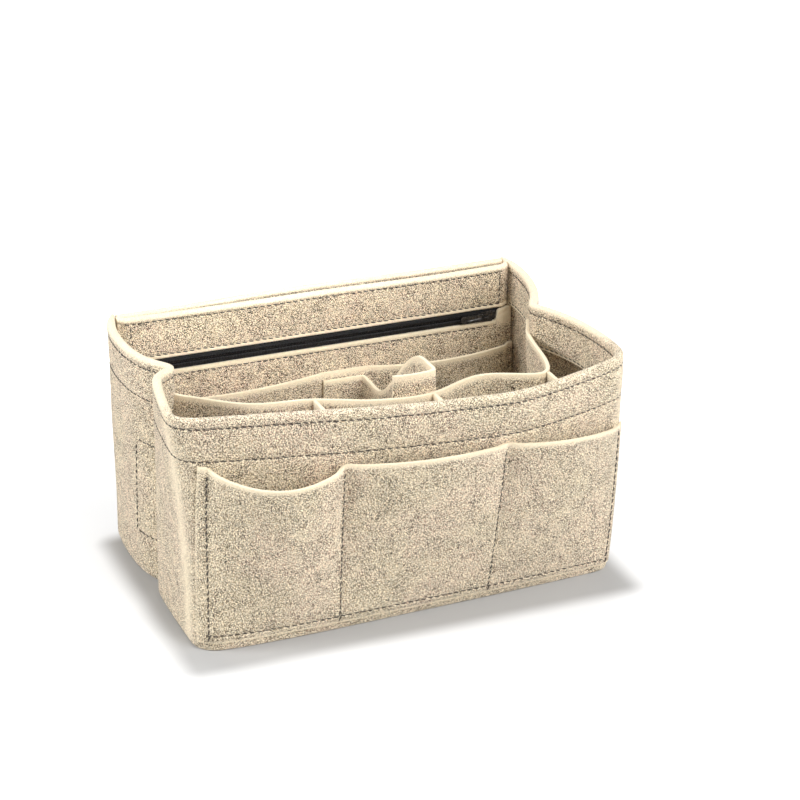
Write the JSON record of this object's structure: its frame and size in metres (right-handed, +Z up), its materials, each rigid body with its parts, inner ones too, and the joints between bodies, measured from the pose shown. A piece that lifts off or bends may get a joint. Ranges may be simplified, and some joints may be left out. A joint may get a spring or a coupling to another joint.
{
  "type": "purse organizer insert",
  "caption": "Open-topped box of sewn felt that stands in a handbag and sorts what it holds, with pockets, dividers, folding ends and a zip pocket",
  "frame": {"origin": "middle of the underside of the whole part", "axes": "X along the length with the closed end of the zipper at +X, Y from the pocketed front to the back, Z up"},
  "size_m": [0.274, 0.2032, 0.145],
  "materials": {
    "felt": "needled felt, slightly fuzzy, with fine dark flecks",
    "zipper_tape": "woven tape",
    "zipper_coil": "moulded nylon coil",
    "zipper_metal": "black lacquer",
    "hook_and_loop": "woven tape with hooks or loops"
  },
  "bodies": {
    "felt_insert": {"end_and_front_wall": "felt", "outer_back_wall": "felt", "inner_back_wall": "felt", "base_panel": "felt", "front_pocket_panel": "felt", "zip_pocket_panel": "felt", "inner_slip_pocket_panel": "felt", "long_divider": "felt", "front_cell_partition_1": "felt", "front_cell_partition_2": "felt", "front_cell_partition_3": "felt", "cross_divider": "felt", "upper_zipper_tape": "zipper_tape", "lower_zipper_tape": "zipper_tape", "upper_zipper_coil": "zipper_coil", "lower_zipper_coil": "zipper_coil", "closed_end_stop": "zipper_metal", "open_end_stop": "zipper_metal", "left_wall_hook_patch": "hook_and_loop", "left_tab_loop_patch": "hook_and_loop", "right_wall_hook_patch": "hook_and_loop", "right_tab_loop_patch": "hook_and_loop"},
    "slider": {"zipper_slider": "zipper_metal"},
    "pull": {"zipper_pull": "zipper_metal"}
  },
  "joints": [
    {"name": "zipper_travel", "type": "slide", "parent": "felt_insert", "child": "slider", "axis": [-1, 0, 0], "range_m": [0, 0.2194]},
    {"name": "pull_hinge", "type": "hinge", "parent": "slider", "child": "pull", "pos_m": [0.11354, 0.08283, 0.11275], "axis": [0, 0, 1], "range_deg": [0, 180]}
  ]
}
